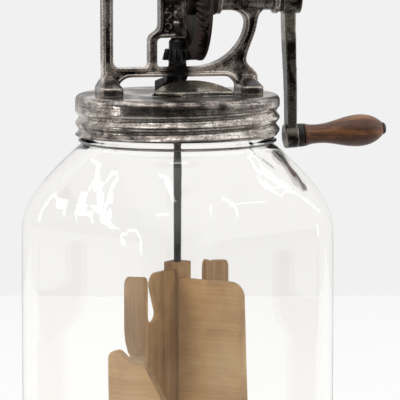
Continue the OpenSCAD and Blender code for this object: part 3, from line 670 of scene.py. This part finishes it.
def finish_nodes():
    """Finishes for the solids that stay as they are."""
    finishes = {
        "lid_gasket": RUBBER, "flap_hinge_lug": TIN, "flap_hinge_pin": STEEL, "frame_screws": STEEL,
        "lid_bush": GREASE, "thrust_washer": GREASE, "gear_pin": STEEL, "crank_shaft": STEEL,
        "crank_washer": STEEL, "crank_pin": STEEL, "handle_stud": STEEL, "grip_collar": GREASE,
        "pinion_pin": STEEL, "dasher_rod": ROD_STEEL, "rod_pin": STEEL,
    }
    for node, finish in finishes.items():
        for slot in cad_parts[node].material_slots:
            slot.material = finish


# Studio

VIEW_TURN = math.radians(-12)
DARK_SIDE = math.radians(-131)
AIM = Vector((12.7, -2.75, 169.3)) * MM
FORWARD = Vector((-math.sin(VIEW_TURN), math.cos(VIEW_TURN), 0))
CAMERA_AWAY, CAMERA_HEIGHT = 1.6, 362 * MM
CAMERA_LENS, CAMERA_SENSOR = 250.6, 36
CAMERA_PLACE = Vector((*(AIM - FORWARD * CAMERA_AWAY).xy, CAMERA_HEIGHT))
CAMERA_TURN = Euler((math.pi / 2 - math.atan2(CAMERA_HEIGHT - AIM.z, CAMERA_AWAY), 0, VIEW_TURN))
# Streaks of light on the jar's shoulder: the width and the points, in pixels of a picture PICTURE wide
PICTURE = 400
STREAK_REACH = 0.6
STREAK_POWER = 16
JAR_SHOULDER = (0, 0, 0.18)
STREAKS = {
    "neck_streak": (3.5, (97, 152), (99, 164), (98, 180)),
    "window_core": (6, (98, 181), (100, 194), (102, 206)),
    "window_branch": (2.5, (95, 181), (89, 191)),
    "window_upper_pane": (6, (86, 192), (83, 203)),
    "window_lower_pane": (9, (83, 204), (85, 216)),
    "window_right_pane": (8, (97, 206), (104, 214)),
    "window_tail": (5, (104, 214), (115, 229)),
    "window_left_drip": (2, (80, 206), (77, 221)),
    "window_right_drip": (2, (92, 210), (93, 223)),
    "loop_rise": (2, (103, 185), (114, 173)),
    "loop_top": (3.5, (112, 173), (118, 174)),
    "loop_fall": (2, (118, 175), (112, 200), (111, 218)),
    "edge_hook": (2, (39, 221), (43, 209), (55, 193)),
    "edge_bend": (2.5, (55, 193), (60, 199)),
    "edge_pane": (7, (62, 199), (62, 209)),
    "edge_drip": (1.8, (63, 209), (63, 217)),
    "low_hook_rise": (2, (123, 245), (128, 230)),
    "low_hook_top": (2.5, (128, 230), (136, 230)),
    "low_hook_fall": (2, (136, 230), (141, 238), (141, 255)),
    "rod_streak_top": (4, (159, 175), (166, 177)),
    "rod_streak_middle": (5, (166, 178), (171, 192)),
    "rod_streak_end": (4, (171, 192), (175, 203)),
    "rod_dash": (2.5, (156, 215), (169, 214)),
    "upper_neck_ring": (1.2, (169, 157), (190, 157)),
    "lower_neck_ring": (1.6, (170, 163), (189, 164)),
    "right_neck_streak": (2.5, (248, 151), (249, 158), (256, 166)),
    "right_upper_line": (1.6, (253, 155), (262, 167), (275, 178), (292, 188)),
    "right_middle_line": (2.2, (256, 166), (266, 176), (278, 184), (292, 191)),
    "right_edge_line": (1.8, (292, 191), (303, 199), (320, 212)),
    "right_lower_line": (1.4, (258, 175), (270, 188), (280, 188)),
    "right_lowest_line": (1.4, (262, 181), (271, 191), (281, 196), (287, 190)),
    "panel_streak": (2.8, (222, 199), (229, 201), (237, 217)),
    "panel_line": (1.0, (236, 204), (270, 201)),
    "panel_dash": (1.6, (211, 205), (212, 218)),
    "right_side_dash": (1.4, (317, 224), (318, 236)),
}


def set_camera():
    bpy.ops.object.camera_add(location=CAMERA_PLACE, rotation=CAMERA_TURN)
    camera = bpy.context.object
    camera.data.sensor_width = CAMERA_SENSOR
    camera.data.lens = CAMERA_LENS
    camera.data.clip_end = 20
    bpy.context.scene.camera = camera


def set_floor():
    """A white table that glows a little where it's looked at, and keeps the jar's shadow."""
    back_edge, reach, glow_share = 0.73, 2.4, 0.75
    bpy.ops.mesh.primitive_plane_add(size=1)
    floor = named("studio_floor")
    floor.dimensions = (2 * reach, back_edge + reach, 0)
    floor.rotation_euler = (0, 0, VIEW_TURN)
    middle = FORWARD * ((back_edge - reach) / 2)
    floor.location = (middle.x, middle.y, 0)
    settle(floor)
    finish, tree, shader, place = new_finish("white_table")
    shader.inputs["Base Color"].default_value = (0.86, 0.86, 0.86, 1)
    shader.inputs["Roughness"].default_value = 0.6
    front = spread(tree, axes_of(tree, place)["Y"], -0.35, 0.1)
    mirrored = ramp(tree, front, (0.0, (0.03, 0.03, 0.03)), (0.5, (0.38, 0.38, 0.37)), (1.0, (0.8, 0.8, 0.8)))
    glow = tree.nodes.new("ShaderNodeEmission")
    path = tree.nodes.new("ShaderNodeLightPath")
    through = path.outputs["Is Transmission Ray"]
    bounced = spread(tree, math_of(tree, "SUBTRACT", path.outputs["Is Glossy Ray"], through), 0, 1)
    behind = ramp(tree, front, (0.0, (0.72, 0.72, 0.71)), (1.0, (1.05, 1.04, 1.025)))
    plain = mixed(tree, through, (0.95, 0.95, 0.95), behind)
    tree.links.new(mixed(tree, bounced, plain, mirrored), glow.inputs["Color"])
    seen = math_of(tree, "MAXIMUM", path.outputs["Is Camera Ray"], through)
    seen = math_of(tree, "MAXIMUM", math_of(tree, "MULTIPLY", seen, glow_share), bounced)
    choose = tree.nodes.new("ShaderNodeMixShader")
    tree.links.new(seen, choose.inputs[0])
    tree.links.new(shader.outputs[0], choose.inputs[1])
    tree.links.new(glow.outputs[0], choose.inputs[2])
    tree.links.new(choose.outputs[0], tree.nodes["Material Output"].inputs["Surface"])
    floor.data.materials.append(finish)


def set_world():
    """A pale room: light grey behind, a bright ceiling, and a dark side to the left of the camera."""
    world = bpy.data.worlds.new("studio_world")
    bpy.context.scene.world = world
    world.use_nodes = True
    tree = world.node_tree
    ground = tree.nodes["Background"]
    direction = tree.nodes.new("ShaderNodeTexCoord").outputs["Generated"]
    axes = axes_of(tree, direction)
    facing = tree.nodes.new("ShaderNodeVectorMath")
    facing.operation = "DOT_PRODUCT"
    facing.inputs[1].default_value = (math.cos(DARK_SIDE), math.sin(DARK_SIDE), 0)
    tree.links.new(direction, facing.inputs[0])
    depth = spread(tree, facing.outputs["Value"], 1, -1)
    mirrored = ramp(tree, depth, (0.0, (0.03, 0.03, 0.03)), (0.2, (0.10, 0.10, 0.10)), (0.4, (0.5, 0.5, 0.5)),
                    (0.55, (0.8, 0.8, 0.8)))
    mirrored = mixed(tree, spread(tree, axes["Z"], 0.3, 0.7), mirrored, (1.1, 1.1, 1.1))
    path = tree.nodes.new("ShaderNodeLightPath")
    clear = math_of(tree, "MAXIMUM", path.outputs["Is Camera Ray"], path.outputs["Is Transmission Ray"])
    shown = mixed(tree, path.outputs["Is Glossy Ray"], (0.5, 0.5, 0.5), mirrored)
    through = mixed(tree, spread(tree, axes["Y"], -0.2, 0.3), (0.72, 0.72, 0.71), (0.93, 0.92, 0.905))
    behind = mixed(tree, path.outputs["Is Transmission Ray"], (0.88, 0.88, 0.88), through)
    shown = mixed(tree, clear, shown, behind)
    tree.links.new(shown, ground.inputs["Color"])


def softbox(name, place, aim, width, height, power, lights=True, mirrored=True):
    """A lamp that lights the churn, that is mirrored in it, or both."""
    bpy.ops.object.light_add(type="AREA", location=place)
    lamp = named(name)
    lamp.data.shape = "RECTANGLE"
    lamp.data.size, lamp.data.size_y = width, height
    lamp.data.energy = power
    lamp.rotation_euler = (Vector(aim) - Vector(place)).to_track_quat("-Z", "Y").to_euler()
    lamp.visible_camera = False
    lamp.visible_diffuse = lights
    lamp.visible_glossy = mirrored
    lamp.visible_transmission = False


def mirror_finder(jar):
    """A function that tells where a lamp stands which the jar's skin mirrors at a spot of the picture."""
    corners = jar.data.vertices
    faces = jar.data.polygons
    skin = BVHTree.FromPolygons([corner.co for corner in corners], [face.vertices for face in faces])
    pixel = CAMERA_SENSOR / CAMERA_LENS / PICTURE

    def lamp_place(spot):
        x = (spot.x - PICTURE / 2) * pixel
        y = (PICTURE / 2 - spot.y) * pixel
        ray = (CAMERA_TURN.to_matrix() @ Vector((x, y, -1))).normalized()
        point, _, index, _ = skin.ray_cast(CAMERA_PLACE, ray)
        around = [corners[i] for i in faces[index].vertices]
        shares = poly_3d_calc([corner.co for corner in around], point)
        normal = sum((corner.normal * share for corner, share in zip(around, shares)), Vector())
        return point + ray.reflect(normal.normalized()) * STREAK_REACH

    return lamp_place


def glint(name, lamp_place, width, first, last):
    """A thin lamp that is only mirrored: the jar shows it as a line between two spots of the picture."""
    first, last = Vector(first), Vector(last)
    ends = lamp_place(first), lamp_place(last)
    half = (last - first).orthogonal().normalized() * width / 2
    middle = (first + last) / 2
    side = lamp_place(middle + half) - lamp_place(middle - half)
    place, along = (ends[0] + ends[1]) / 2, (ends[1] - ends[0]).normalized()
    wide, length = (side - side.project(along)).length, (ends[1] - ends[0]).length
    softbox(name, place, JAR_SHOULDER, wide, length, STREAK_POWER * wide * length, lights=False)
    away = place - Vector(JAR_SHOULDER)
    away = (away - away.project(along)).normalized()
    bpy.context.object.rotation_euler = Matrix((along.cross(away), along, away)).transposed().to_euler()


def set_lights(jar):
    middle = (0, 0, 0.2)
    softbox("left_softbox", (-1.1, -0.35, 0.8), middle, width=0.6, height=0.9, power=9, mirrored=False)
    softbox("right_softbox", (1.1, -0.4, 0.8), middle, width=0.5, height=0.9, power=7, mirrored=False)
    softbox("top_softbox", (0.0, 0.2, 1.5), middle, width=1.0, height=0.8, power=10, mirrored=False)
    lamp_place = mirror_finder(jar)
    for name, (width, *spots) in STREAKS.items():
        for first, last in zip(spots, spots[1:]):
            glint(name, lamp_place, width, first, last)


jar_glass = make_jar()
make_lid()
make_frame()
make_crank()
make_gears()
make_grip()
make_dasher()
make_flap()
finish_nodes()
set_camera()
set_floor()
set_world()
set_lights(jar_glass)

bpy.context.scene.view_settings.view_transform = "Standard"
